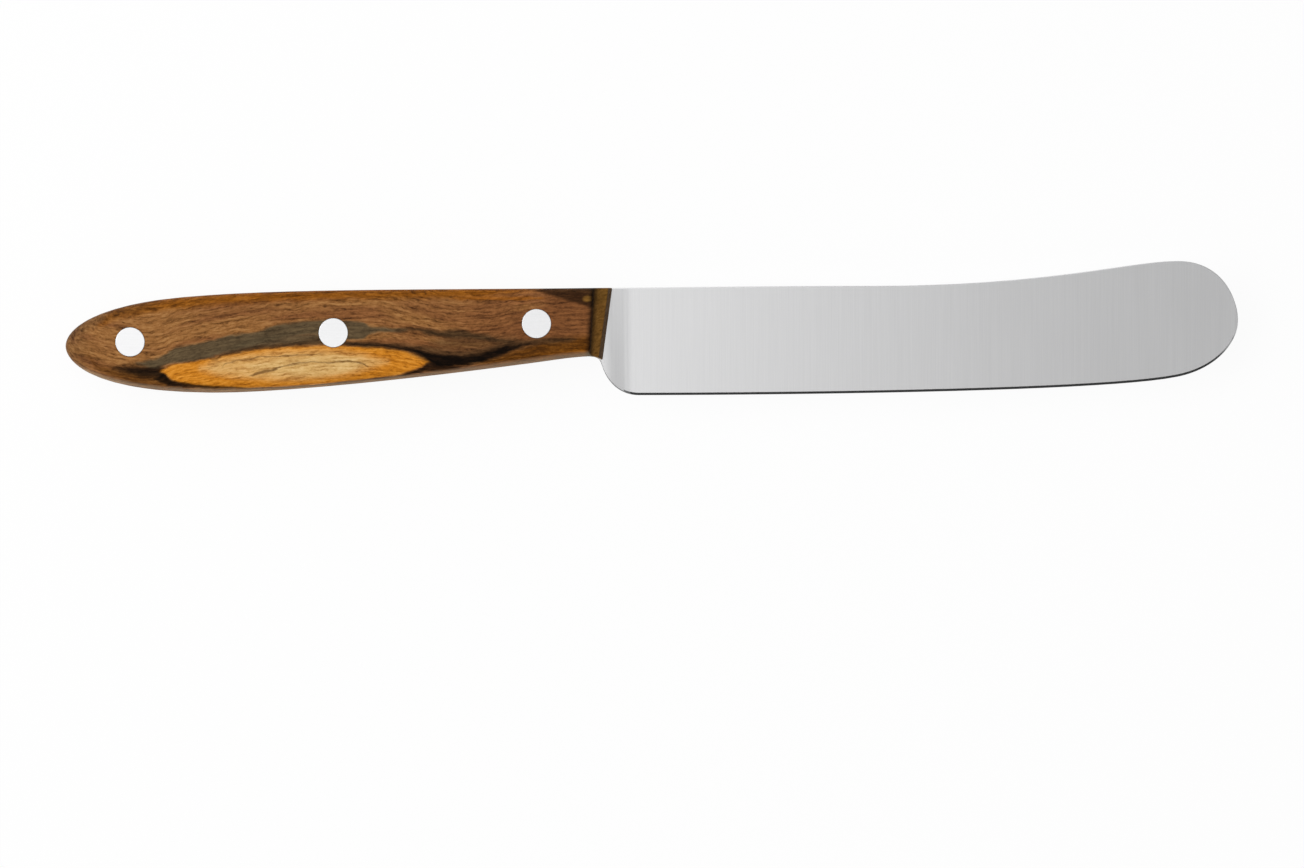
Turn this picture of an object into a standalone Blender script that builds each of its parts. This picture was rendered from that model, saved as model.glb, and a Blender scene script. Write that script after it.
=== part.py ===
"""Table knife with a full tang and two riveted wooden scales. Lengths are in metres.

The knife lies on its rear scale. +X runs from the butt of the handle to the tip of the blade,
+Y points to the spine and +Z comes up through the front scale. The origin is the middle of
the knife's box, on the surface that it lies on. The pieces are drawn round the shoulder, where
the spine meets the handle, on the middle plane of the steel, and an empty carries them.
"""

import math

import bmesh
import bpy
import numpy
from mathutils import Matrix, Vector
from mathutils.geometry import interpolate_bezier, intersect_point_line

# Plan of the steel. Drops are below the level of the shoulder, rises above it.
HANDLE_LENGTH = 0.102
BLADE_LENGTH = 0.119
SPINE_SLOPE = 0.012
BUTT_DROP = 0.0110
CROWN_SETBACK = 0.0220
CROWN_DROP = 0.00175
CROWN_SLOPE = 0.091
SADDLE_REACH = 0.0500
SADDLE_RISE = 0.0004
CREST_SETBACK = 0.0114
CREST_RISE = 0.0051
TIP_DROP = 0.0060
CHIN_SETBACK = 0.0113
CHIN_DROP = 0.0167
CHIN_SLOPE = 0.215
HEEL_REACH = 0.0060
HEEL_DROP = 0.0202
HEEL_TOP_SETBACK = 0.0010
HEEL_TOP_DROP = 0.01446
HEEL_TOP_SLOPE = -3.19
NECK_SETBACK = 0.0034
NECK_DROP = 0.0129
WAIST_SETBACK = 0.0080
WAIST_DROP = 0.01329
WAIST_SLOPE = 0.143
BELLY_SETBACK = 0.0283
BELLY_DROP = 0.01974

# How far the outline follows its slope before and after each of those points.
BUTT_UPPER_PULL = 0.0035
BUTT_LOWER_PULL = 0.0015
CROWN_PULL = (0.0160, 0.0188)
SHOULDER_PULL = (0.0347, 0.0150)
SADDLE_PULL = (0.0200, 0.0328)
CREST_PULL = (0.0092, 0.0092)
TIP_UPPER_PULL = 0.0030
TIP_LOWER_PULL = 0.0038
CHIN_PULL = (0.0155, 0.0080)
HEEL_PULL = (0.0021, 0.0100)
HEEL_TOP_PULL = (0.0008, 0.0050)
NECK_PULL = (0.0010, 0.0018)
WAIST_PULL = (0.0205, 0.0006)
BELLY_PULL = (0.0264, 0.0145)

# Thickness of the steel, and where it is ground and sharpened.
TANG_THICKNESS = 0.0013
TIP_THICKNESS = 0.0004
GROUND_THICKNESS = 0.00035
EDGE_THICKNESS = 0.0001
EDGE_WIDTH = 0.00045
GRIND_START = -0.0010
GRIND_RUN = 0.0060
SHARPENING_START = 0.0030
SHARPENING_RUN = 0.0014
NOSE_RUN = 0.0015

# Wooden scales: flat sides, edges rounded less towards the blade, and a hollow-ground front.
SCALE_THICKNESS = 0.0050
BOND_GAP = 0.00005
ROUND_WIDTH_BUTT = 0.0034
ROUND_WIDTH_FRONT = 0.0012
ROUND_DEPTH_BUTT = 0.0030
ROUND_DEPTH_FRONT = 0.0014
ROUND_CENTRE_SETBACK = 0.0061
FLARE_RADIUS = 0.0048
FRONT_LEAD = 0.0010
FRONT_RAKE = math.radians(7.7)
FRONT_LEAN = math.radians(14.5)
FRONT_STOCK = 0.0010
COVE_RADIUS = 0.0034
COVE_LIFT = 0.0012
COVE_SETBACK = 0.0027
COVE_RAKE = math.radians(3.0)

# Two-part rivets: a sleeve from the front and a stud from the rear, on one straight line.
BUTT_RIVET_SETBACK = 0.0122
BUTT_RIVET_DROP = 0.0102
SHOULDER_RIVET_SETBACK = 0.01325
SHOULDER_RIVET_DROP = 0.00675
HEAD_DIAMETER = 0.0055
HEAD_THICKNESS = 0.0011
HEAD_RECESS = 0.00002
SLEEVE_DIAMETER = 0.0035
STUD_DIAMETER = 0.0023
RIVET_CLEARANCE = 0.00005
DRILL_OVERRUN = 0.0010

# Fineness of the mesh.
CURVE_STEPS = 12
TIP_STEPS = 30
GRIND_STEPS = 10
FINE_STEPS = 160
STATION_GAP = 0.00004
ROUND_STEPS = 6
TURN_STEPS = 40
WELD = 1e-7
SHARP_ANGLE = math.radians(35.0)

# Finishes: base colour, roughness, metallic.
STEEL = ((0.72, 0.72, 0.725), 0.30, 1.0)
WOOD = ((0.19, 0.075, 0.022), 0.50, 0.0)
ALUMINIUM = ((0.86, 0.86, 0.87), 0.25, 1.0)

scale_face = TANG_THICKNESS / 2 + BOND_GAP
handle_face = scale_face + SCALE_THICKNESS
head_face = handle_face - HEAD_RECESS
head_seat = head_face - HEAD_THICKNESS


def knot(along, height, slope, pulls):
    """A point of the outline between the handles of the curves that arrive and leave."""
    point = Vector((along, height, 0.0))
    heading = Vector((1.0, slope, 0.0)).normalized()
    return point - pulls[0] * heading, point, point + pulls[1] * heading


def end_knot(along, height, rise_after, drop_before):
    """A round end of the outline, where the curve stands upright."""
    point = Vector((along, height, 0.0))
    upright = Vector((0.0, 1.0, 0.0))
    return point + drop_before * upright, point, point + rise_after * upright


def curve_through(knots, steps):
    """Points along the smooth curve through the knots."""
    points = []
    for (_, start, leaving), (arriving, end, _) in zip(knots, knots[1:]):
        points += interpolate_bezier(start, leaving, arriving, end, steps + 1)[:-1]
    points.append(knots[-1][1])
    return points


def mix(first, second, share):
    return first + (second - first) * share


def span_share(along, start, run):
    """How far along a run is, held between 0 and 1."""
    return min(max((along - start) / run, 0.0), 1.0)


def eased(along, start, run):
    """As span_share, with a soft start and end."""
    share = span_share(along, start, run)
    return share * share * (3.0 - 2.0 * share)


upper_knots = [
    end_knot(-HANDLE_LENGTH, -BUTT_DROP, BUTT_UPPER_PULL, 0.0),
    knot(CROWN_SETBACK - HANDLE_LENGTH, -CROWN_DROP, CROWN_SLOPE, CROWN_PULL),
    knot(0.0, 0.0, SPINE_SLOPE, SHOULDER_PULL),
    knot(SADDLE_REACH, SADDLE_RISE, 0.0, SADDLE_PULL),
    knot(BLADE_LENGTH - CREST_SETBACK, CREST_RISE, 0.0, CREST_PULL),
    end_knot(BLADE_LENGTH, -TIP_DROP, 0.0, TIP_UPPER_PULL),
]
lower_knots = [
    end_knot(-HANDLE_LENGTH, -BUTT_DROP, -BUTT_LOWER_PULL, 0.0),
    knot(BELLY_SETBACK - HANDLE_LENGTH, -BELLY_DROP, 0.0, BELLY_PULL),
    knot(-WAIST_SETBACK, -WAIST_DROP, WAIST_SLOPE, WAIST_PULL),
    knot(-NECK_SETBACK, -NECK_DROP, 0.0, NECK_PULL),
    knot(-HEEL_TOP_SETBACK, -HEEL_TOP_DROP, HEEL_TOP_SLOPE, HEEL_TOP_PULL),
    knot(HEEL_REACH, -HEEL_DROP, 0.0, HEEL_PULL),
    knot(BLADE_LENGTH - CHIN_SETBACK, -CHIN_DROP, CHIN_SLOPE, CHIN_PULL),
    end_knot(BLADE_LENGTH, -TIP_DROP, 0.0, -TIP_LOWER_PULL),
]


def outline_heights(knots, stations):
    """Heights of the curve through the knots at each station along the knife."""
    fine = curve_through(knots, FINE_STEPS)
    return numpy.interp(stations, [p.x for p in fine], [p.y for p in fine])


def outline_stations():
    """Places along the knife that follow the bends of both curves and the grind, without crowding."""
    bends = curve_through(upper_knots, CURVE_STEPS) + curve_through(lower_knots, CURVE_STEPS)
    bends += curve_through(upper_knots[-2:], TIP_STEPS) + curve_through(lower_knots[-2:], TIP_STEPS)
    run_out = [GRIND_START + GRIND_RUN * step / GRIND_STEPS for step in range(GRIND_STEPS + 1)]
    places = [-HANDLE_LENGTH]
    for along in sorted([point.x for point in bends] + run_out):
        if along - places[-1] > STATION_GAP and BLADE_LENGTH - along > STATION_GAP:
            places.append(along)
    return places + [BLADE_LENGTH]


stations = outline_stations()
upper_line = outline_heights(upper_knots, stations)
lower_line = outline_heights(lower_knots, stations)


def add_object(name, mesh_builder):
    """A named object on the carrier from a finished bmesh."""
    bmesh.ops.remove_doubles(mesh_builder, verts=mesh_builder.verts, dist=WELD)
    bmesh.ops.recalc_face_normals(mesh_builder, faces=mesh_builder.faces)
    mesh = bpy.data.meshes.new(name)
    mesh_builder.to_mesh(mesh)
    mesh_builder.free()
    mesh.shade_smooth()
    mesh.set_sharp_from_angle(angle=SHARP_ANGLE)
    made = bpy.data.objects.new(name, mesh)
    bpy.context.collection.objects.link(made)
    made.parent = carrier
    return made


def add_cutter(name, mesh_builder):
    """An object that only cuts others."""
    cutter = add_object(name, mesh_builder)
    cutter.hide_render = True
    cutter.display_type = "WIRE"
    return cutter


def finish(made, look):
    """Gives an object a material of its own."""
    colour, roughness, metallic = look
    material = bpy.data.materials.new(made.name + "_finish")
    material.use_nodes = True
    shader = material.node_tree.nodes["Principled BSDF"]
    shader.inputs["Base Color"].default_value = (*colour, 1.0)
    shader.inputs["Roughness"].default_value = roughness
    shader.inputs["Metallic"].default_value = metallic
    made.data.materials.append(material)


def skin(rings):
    """A closed skin through rings of equal counts, with a face on the first and the last."""
    builder = bmesh.new()
    loops = [[builder.verts.new(point) for point in ring] for ring in rings]
    for loop, following in zip(loops, loops[1:]):
        for index in range(len(loop)):
            before = index - 1
            builder.faces.new((loop[before], loop[index], following[index], following[before]))
    builder.faces.new(loops[0])
    builder.faces.new(loops[-1])
    return builder


def turn(profile, centres):
    """Solids turned about upright axes from (radius, level) corners, axis to axis."""
    builder = bmesh.new()
    for centre in centres:
        corners = [builder.verts.new(centre + Vector((r, 0.0, level))) for r, level in profile]
        edges = [builder.edges.new(pair) for pair in zip(corners, corners[1:])]
        bmesh.ops.spin(
            builder,
            geom=corners + edges,
            cent=centre,
            axis=(0.0, 0.0, 1.0),
            angle=math.tau,
            steps=TURN_STEPS,
            use_merge=True,
        )
    return builder


def cut_with(made, cutter):
    """Cuts the cutter's shape out of an object."""
    cut = made.modifiers.new(cutter.name, "BOOLEAN")
    cut.operation = "DIFFERENCE"
    cut.solver = "EXACT"
    cut.object = cutter


def blade_section(along, upper, lower):
    """The ring of the steel at a station: spine, start of the edge bevel and edge, both sides."""
    taper = span_share(along, 0.0, BLADE_LENGTH)
    ground = eased(along, GRIND_START, GRIND_RUN)
    sharpened = eased(along, SHARPENING_START, SHARPENING_RUN)
    nose = eased(along, BLADE_LENGTH - NOSE_RUN, NOSE_RUN)
    spine = mix(TANG_THICKNESS, TIP_THICKNESS, taper)
    behind_edge = mix(mix(spine, GROUND_THICKNESS, ground), spine, nose)
    edge = mix(mix(behind_edge, EDGE_THICKNESS, sharpened), spine, nose)
    bevel_line = lower + min(EDGE_WIDTH, (upper - lower) / 2)
    front = [(upper, spine / 2), (bevel_line, behind_edge / 2), (lower, edge / 2)]
    rear = [(height, -half) for height, half in reversed(front)]
    return [Vector((along, height, level)) for height, level in front + rear]


def make_blade():
    """The blade and its tang, one piece of steel."""
    sections = [blade_section(*place) for place in zip(stations, upper_line, lower_line)]
    blade = add_object("blade", skin(sections))
    cut_with(blade, rivet_drill)
    finish(blade, STEEL)


def grip_outline():
    """Outline of a scale before its front is cut: forward over the butt, front to front."""
    front_end = FRONT_LEAD + FRONT_STOCK
    places = [along for along in stations if along < front_end - STATION_GAP] + [front_end]
    upper = outline_heights(upper_knots, places)
    lower = outline_heights(lower_knots, places)
    outline = [Vector((along, height, 0.0)) for along, height in zip(places, upper)][::-1]
    for along, height in zip(places[1:], lower[1:]):
        past_neck = max(along + NECK_SETBACK, 0.0)
        if past_neck > 0.0:
            height = -NECK_DROP - past_neck**2 / (2 * FLARE_RADIUS)
        outline.append(Vector((along, height, 0.0)))
    return outline


def rounded_ring(outline, angle):
    """The outline drawn in and raised to one angle of the rounded edge, 0 at its foot."""
    ring = []
    for point in outline:
        forward = span_share(point.x, -HANDLE_LENGTH, HANDLE_LENGTH)
        width = mix(ROUND_WIDTH_BUTT, ROUND_WIDTH_FRONT, forward)
        depth = mix(ROUND_DEPTH_BUTT, ROUND_DEPTH_FRONT, forward)
        nearest, share = intersect_point_line(point, round_centre, rivet_places[-1])
        inward = ((round_centre if share < 0.0 else nearest) - point).normalized()
        placed = point + width * (1.0 - math.cos(angle)) * inward
        placed.z = handle_face - depth * (1.0 - math.sin(angle))
        ring.append(placed)
    return ring


def cut_front(builder):
    """Cuts the front square to the blade's side but raked and leaning back, and closes it."""
    facing = Vector((math.cos(FRONT_RAKE), -math.sin(FRONT_RAKE), math.tan(FRONT_LEAN)))
    cut = bmesh.ops.bisect_plane(
        builder,
        geom=builder.verts[:] + builder.edges[:] + builder.faces[:],
        dist=WELD,
        plane_co=(FRONT_LEAD, 0.0, scale_face),
        plane_no=facing.normalized(),
        clear_outer=True,
    )
    rim = [item for item in cut["geom_cut"] if isinstance(item, bmesh.types.BMEdge)]
    bmesh.ops.edgeloop_fill(builder, edges=rim)


def make_scale(name, side):
    """A wooden scale. Side is 1 for the front one and -1 for the rear one."""
    outline = grip_outline()
    angles = [math.pi / 2 * step / ROUND_STEPS for step in range(ROUND_STEPS + 1)]
    foot = [Vector((point.x, point.y, scale_face)) for point in outline]
    builder = skin([foot] + [rounded_ring(outline, angle) for angle in angles])
    cut_front(builder)
    bmesh.ops.scale(builder, vec=(1.0, 1.0, side), verts=builder.verts)
    scale = add_object(name, builder)
    cut_with(scale, cove_wheels)
    cut_with(scale, rivet_drill)
    finish(scale, WOOD)


def make_rivet(name, place):
    """The sleeve and the stud of one rivet, each turned on its own axis."""
    head = HEAD_DIAMETER / 2
    sleeve = SLEEVE_DIAMETER / 2
    stud = STUD_DIAMETER / 2
    bore = stud + RIVET_CLEARANCE
    sleeve_end = RIVET_CLEARANCE - head_seat
    sleeve_profile = [
        (0.0, head_face),
        (head, head_face),
        (head, head_seat),
        (sleeve, head_seat),
        (sleeve, sleeve_end),
        (bore, sleeve_end),
        (bore, head_seat),
        (0.0, head_seat),
    ]
    stud_profile = [
        (0.0, head_seat - RIVET_CLEARANCE),
        (stud, head_seat - RIVET_CLEARANCE),
        (stud, -head_seat),
        (head, -head_seat),
        (head, -head_face),
        (0.0, -head_face),
    ]
    for half, profile in (("sleeve", sleeve_profile), ("stud", stud_profile)):
        made = add_object(name + "_" + half, turn(profile, [Vector()]))
        made.location = place
        finish(made, ALUMINIUM)


def make_rivet_drill():
    """The cutter that bores and counterbores both scales and the tang in one pass."""
    hole = SLEEVE_DIAMETER / 2 + RIVET_CLEARANCE
    counterbore = HEAD_DIAMETER / 2 + RIVET_CLEARANCE
    seat = head_seat - RIVET_CLEARANCE
    end = handle_face + DRILL_OVERRUN
    half = [(0.0, end), (counterbore, end), (counterbore, seat), (hole, seat)]
    profile = half + [(radius, -level) for radius, level in reversed(half)]
    return add_cutter("rivet_drill", turn(profile, rivet_places))


def make_cove_wheels():
    """The cutter of both hollow fronts: two wheels across the handle, wider than it is deep."""
    wheel_width = 2 * BELLY_DROP
    ahead_of_crease = math.sqrt(COVE_RADIUS**2 - COVE_LIFT**2)
    across = Matrix.Rotation(-COVE_RAKE, 4, "Z") @ Matrix.Rotation(math.pi / 2, 4, "X")
    builder = bmesh.new()
    for side in (1, -1):
        centre = (ahead_of_crease - COVE_SETBACK, 0.0, side * (handle_face + COVE_LIFT))
        bmesh.ops.create_cone(
            builder,
            cap_ends=True,
            segments=TURN_STEPS,
            radius1=COVE_RADIUS,
            radius2=COVE_RADIUS,
            depth=wheel_width,
            matrix=Matrix.Translation(centre) @ across,
        )
    return add_cutter("cove_wheels", builder)


for leftover in list(bpy.data.objects):
    bpy.data.objects.remove(leftover)

carrier = bpy.data.objects.new("knife", None)
carrier.location = (
    (HANDLE_LENGTH - BLADE_LENGTH) / 2,
    -(upper_line.max() + lower_line.min()) / 2,
    handle_face,
)
bpy.context.collection.objects.link(carrier)

butt_rivet = Vector((BUTT_RIVET_SETBACK - HANDLE_LENGTH, -BUTT_RIVET_DROP, 0.0))
shoulder_rivet = Vector((-SHOULDER_RIVET_SETBACK, -SHOULDER_RIVET_DROP, 0.0))
rivet_places = [butt_rivet, (butt_rivet + shoulder_rivet) / 2, shoulder_rivet]
rivet_line = (shoulder_rivet - butt_rivet).normalized()
round_centre = butt_rivet - (BUTT_RIVET_SETBACK - ROUND_CENTRE_SETBACK) * rivet_line

rivet_drill = make_rivet_drill()
cove_wheels = make_cove_wheels()
make_blade()
make_scale("front_scale", 1)
make_scale("rear_scale", -1)
for rivet_name, rivet_place in zip(("butt", "middle", "shoulder"), rivet_places):
    make_rivet(rivet_name, rivet_place)
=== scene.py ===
# %% [markdown]
# # A table knife with riveted wooden scales
#
# The CAD model gives the knife its shapes and sizes. This lesson takes those shapes into Blender, eases
# their edges as a cutler does at the belt, gives each piece its finish, and lights the knife as it lies
# on a white table. First the imported model is loaded, and its box is kept and printed.

import math
from types import SimpleNamespace

import bmesh
import bpy
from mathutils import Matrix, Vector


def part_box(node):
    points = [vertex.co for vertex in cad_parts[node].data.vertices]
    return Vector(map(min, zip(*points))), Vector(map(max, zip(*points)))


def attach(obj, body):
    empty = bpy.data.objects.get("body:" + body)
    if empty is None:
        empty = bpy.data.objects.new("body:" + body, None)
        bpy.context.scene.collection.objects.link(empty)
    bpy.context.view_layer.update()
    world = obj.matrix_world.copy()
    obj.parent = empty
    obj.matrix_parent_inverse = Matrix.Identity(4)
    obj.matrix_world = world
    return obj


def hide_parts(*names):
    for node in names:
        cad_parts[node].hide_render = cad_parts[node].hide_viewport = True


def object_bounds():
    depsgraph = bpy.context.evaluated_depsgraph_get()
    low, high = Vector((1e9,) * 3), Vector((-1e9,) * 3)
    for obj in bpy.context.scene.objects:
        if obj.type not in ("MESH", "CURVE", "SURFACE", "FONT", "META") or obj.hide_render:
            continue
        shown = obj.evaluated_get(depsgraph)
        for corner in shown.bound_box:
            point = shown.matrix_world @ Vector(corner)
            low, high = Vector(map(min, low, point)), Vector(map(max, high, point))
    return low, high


MM = 1000.0

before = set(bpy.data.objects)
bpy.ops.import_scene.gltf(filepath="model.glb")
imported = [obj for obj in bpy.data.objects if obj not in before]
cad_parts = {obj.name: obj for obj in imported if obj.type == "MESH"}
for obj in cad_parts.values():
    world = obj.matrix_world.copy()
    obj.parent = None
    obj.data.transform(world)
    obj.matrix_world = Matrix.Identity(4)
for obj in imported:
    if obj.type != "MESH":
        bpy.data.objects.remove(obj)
cad_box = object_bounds()
print("CAD box in mm:", [[round(MM * c, 2) for c in corner] for corner in cad_box])

# %% [markdown]
# ## Taking a solid over from CAD
#
# A CAD solid arrives as loose triangles. We work on a copy: its doubles are merged and its triangles are
# joined, into single faces where the piece is flat, or into rows of quads where it twists, as the blade
# does from spine to edge. A bevel runs cleanly only along edges that divide such faces. One could model
# each piece again from a cube, but the copy keeps the measured outline exactly.


# %% A copy that can be edited
MERGE = 1e-6
FLAT = math.radians(0.05)
TWIST = math.radians(5.0)


def copy_of(node, name, ribbed=False):
    """A copy of a CAD solid, alone selected, its triangles joined into faces or into rows of quads."""
    bpy.ops.object.select_all(action="DESELECT")
    piece = bpy.data.objects.new(name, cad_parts[node].data.copy())
    bpy.context.collection.objects.link(piece)
    piece.data.materials.clear()
    piece.select_set(True)
    bpy.context.view_layer.objects.active = piece
    bpy.ops.mesh.customdata_custom_splitnormals_clear()
    bpy.ops.object.mode_set(mode="EDIT")
    bpy.ops.mesh.select_all(action="SELECT")
    bpy.ops.mesh.remove_doubles(threshold=MERGE)
    if ribbed:
        bpy.ops.mesh.tris_convert_to_quads(face_threshold=TWIST, shape_threshold=math.pi)
    else:
        bpy.ops.mesh.dissolve_limited(angle_limit=FLAT)
    bpy.ops.mesh.select_all(action="DESELECT")
    bpy.ops.object.mode_set(mode="OBJECT")
    return piece


# %% [markdown]
# ## Easing edges
#
# No edge on a finished knife is perfectly sharp, apart from the cutting edge. A narrow bevel along an edge
# catches a thin line of light, which the eye reads as a real, touched-up corner. The edges to bevel are
# found by their place and by the angle between their two faces, as one would pick them with the mouse.


# %% Bevel the edges that a test picks
CRISP = math.radians(35)


def ease_edges(piece, test, width, segments):
    """Bevels the piece's edges for which test(middle of edge, angle between its faces) is true."""
    bpy.ops.object.mode_set(mode="EDIT")
    bpy.ops.mesh.select_mode(type="EDGE")
    bpy.ops.mesh.select_all(action="DESELECT")
    shell = bmesh.from_edit_mesh(piece.data)
    picked = 0
    for edge in shell.edges:
        middle = (edge.verts[0].co + edge.verts[1].co) / 2
        if test(middle, edge.calc_face_angle(0)):
            edge.select_set(True)
            picked += 1
    bmesh.update_edit_mesh(piece.data)
    bpy.ops.mesh.bevel(offset=width, segments=segments, profile=0.5, affect="EDGES", clamp_overlap=False)
    bpy.ops.mesh.select_all(action="SELECT")
    bpy.ops.mesh.remove_doubles(threshold=MERGE)
    bpy.ops.mesh.select_all(action="DESELECT")
    bpy.ops.object.mode_set(mode="OBJECT")
    print(piece.name, "edges eased:", picked)


def polish(piece, node, crisp=CRISP):
    """Smooth shading that keeps flat faces flat and crisp corners crisp, and what the piece stands for."""
    bpy.ops.object.shade_smooth_by_angle(angle=crisp)
    bpy.ops.object.modifier_add(type="WEIGHTED_NORMAL")
    piece.modifiers[-1].keep_sharp = True
    bpy.ops.object.modifier_apply(modifier=piece.modifiers[-1].name)
    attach(piece, "root")
    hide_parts(node)
    print(piece.name, "faces:", len(piece.data.polygons))


# %% [markdown]
# ## The blade
#
# The blade and its tang are one plate of steel, ground thin towards the cutting edge, with a narrow
# sharpening bevel along the edge itself. That bevel is in the CAD model already. What is missing is the
# eased corner along the spine, where a finger rests, and round the heel. Both get a small round. Places
# along the blade are counted from the front end of the wood, which the frame gives.

# %% Blade
SHOULDER_SETBACK = 0.0010
HEEL_TOP_SETBACK = 0.0023
HEEL_REACH = 0.0022
EDGE_REACH = 0.0034
NOSE_Y = 0.001
SQUARE = math.radians(60)
SPINE_EASE = 0.00015
BLADE_CRISP = math.radians(8)

wood_low, wood_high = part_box("front_scale")
shoulder_x = wood_high[0] - SHOULDER_SETBACK
heel_top_x = wood_high[0] - HEEL_TOP_SETBACK
heel_end_x = wood_high[0] + HEEL_REACH
edge_start_x = wood_high[0] + EDGE_REACH
blade = copy_of("blade", "satin_blade", ribbed=True)


def on_heel(place):
    """True for places on the round, blunt heel."""
    return place.y < 0.0 and heel_top_x < place.x < heel_end_x


def on_blunt_outline(middle, angle):
    """True for the corners of the spine and of the heel, which aren't sharpened."""
    on_spine = middle.y > NOSE_Y and middle.x > shoulder_x
    return angle > SQUARE and (on_spine or on_heel(middle))


ease_edges(blade, on_blunt_outline, SPINE_EASE, segments=2)
polish(blade, "blade", crisp=BLADE_CRISP)

# %% [markdown]
# ## The two wooden scales
#
# Each scale is a slab of wood with a big round-over towards the butt and a hollow ground into its front
# end. Sanding has softened the crease above that hollow and the front edges, so these get a bevel of about
# a fifth of a millimetre. The edges of the rivet holes and of the glued face stay crisp.

# %% Scales
HOLLOW_REACH = 0.0075
BESIDE_GLUE = 0.0003
CREASE = math.radians(28)
HOLLOW_EASE = 0.00022

glued_levels = (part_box("rear_scale")[1][2], wood_low[2])


def on_front(middle, angle):
    """True for the creases of the hollow front, away from the glued face."""
    glued = min(abs(middle.z - level) for level in glued_levels) < BESIDE_GLUE
    return middle.x > wood_high[0] - HOLLOW_REACH and angle > CREASE and not glued


front_scale = copy_of("front_scale", "front_wood_scale")
ease_edges(front_scale, on_front, HOLLOW_EASE, segments=3)
polish(front_scale, "front_scale")
rear_scale = copy_of("rear_scale", "rear_wood_scale")
ease_edges(rear_scale, on_front, HOLLOW_EASE, segments=3)
polish(rear_scale, "rear_scale")

# %% [markdown]
# ## The rivets
#
# Each rivet is a sleeve with a head on the front and a stud with a head on the rear. Both are ground flush
# together with the wood, which leaves a very small round on the rim of each head. The six halves are
# treated alike, so one loop does them all.

# %% Rivets
RIM_EASE = 0.00008
FLUSH = 0.00001

head_levels = (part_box("butt_stud")[0][2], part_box("butt_sleeve")[1][2])


def on_head_rim(middle, angle):
    """True for the outer rim of a rivet head."""
    flush = min(abs(middle.z - level) for level in head_levels) < FLUSH
    return flush and angle > SQUARE


rivets = []
for place in ("butt", "middle", "shoulder"):
    for half in ("sleeve", "stud"):
        node = place + "_" + half
        rivet = copy_of(node, node + "_ground")
        ease_edges(rivet, on_head_rim, RIM_EASE, segments=2)
        polish(rivet, node)
        rivets.append(rivet)
print("rivet halves:", len(rivets))

# %% [markdown]
# ## Tools for node materials
#
# All finishes are procedural: noise and curves read from Object coordinates, so they stay on the object
# from every side and need no picture. A few helpers keep the node code readable. Colours are written as in
# a colour picker, from 0 to 255, and turned into the linear values that shaders use.


# %% Node helpers
def colour(red, green, blue):
    """A picker colour as linear red, green, blue and alpha."""
    linear = []
    for value in (red / 255, green / 255, blue / 255):
        linear.append(value / 12.92 if value <= 0.04045 else ((value + 0.055) / 1.055) ** 2.4)
    return (*linear, 1.0)


def add_node(tree, kind, inputs=None, **settings):
    """A node with its settings and inputs; an input that is a socket is linked, any other is set."""
    made = tree.nodes.new(kind)
    for name, value in settings.items():
        setattr(made, name, value)
    for key, value in (inputs or {}).items():
        if isinstance(value, bpy.types.NodeSocket):
            tree.links.new(value, made.inputs[key])
        else:
            made.inputs[key].default_value = value
    return made


def calc(tree, operation, *values):
    """A Math node's result."""
    return add_node(tree, "ShaderNodeMath", dict(enumerate(values)), operation=operation).outputs[0]


def remap(tree, value, low, high, to_low=0.0, to_high=1.0):
    """The value moved smoothly from one range to another, and held at the ends."""
    inputs = {"Value": value, "From Min": low, "From Max": high, "To Min": to_low, "To Max": to_high}
    return add_node(tree, "ShaderNodeMapRange", inputs, interpolation_type="SMOOTHSTEP").outputs[0]


def paint(tree, share, under, over):
    """The colour over, laid on the colour under as far as share says."""
    return add_node(tree, "ShaderNodeMix", {0: share, 6: under, 7: over}, data_type="RGBA").outputs[2]


def object_point(tree, scale):
    """Object coordinates, scaled per axis."""
    place = add_node(tree, "ShaderNodeTexCoord").outputs["Object"]
    return add_node(tree, "ShaderNodeMapping", {"Vector": place, "Scale": scale}).outputs[0]


def noise(tree, vector, scale=1.0, detail=2.0, roughness=0.5):
    """Noise round 0.5 at the vector."""
    inputs = {"Vector": vector, "Scale": scale, "Detail": detail, "Roughness": roughness}
    return add_node(tree, "ShaderNodeTexNoise", inputs).outputs["Fac"]


def new_finish(name):
    """A new material, its node tree and its Principled shader."""
    material = bpy.data.materials.new(name)
    material.use_nodes = True
    return material, material.node_tree, material.node_tree.nodes["Principled BSDF"]


print("node helpers ready")

# %% [markdown]
# ## Satin steel
#
# The blade was ground across its width on a fine belt, which leaves faint lines from spine to edge. Noise
# stretched along Y gives those lines. They vary the roughness and lift a shallow bump, and a second,
# slower noise clouds the polish a little, as handling does. The sharpened bevel is honed and glossier. The
# narrow edge round the heel is rougher, and its steel is painted dark as a painted dark reflection.


# %% Steel
COOLER = 0.005
LINE_RELIEF = 0.00002
LINE_BUMP = 0.05
CLOUDED_GLOSS = 0.04
CLOUDS = (60.0, 60.0, 60.0)
ACROSS_THE_BLADE = (5200.0, 60.0, 60.0)


def grey_metal(level):
    """A metal's colour, a very little cooler than grey."""
    return (level, level, level + COOLER, 1.0)


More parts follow.
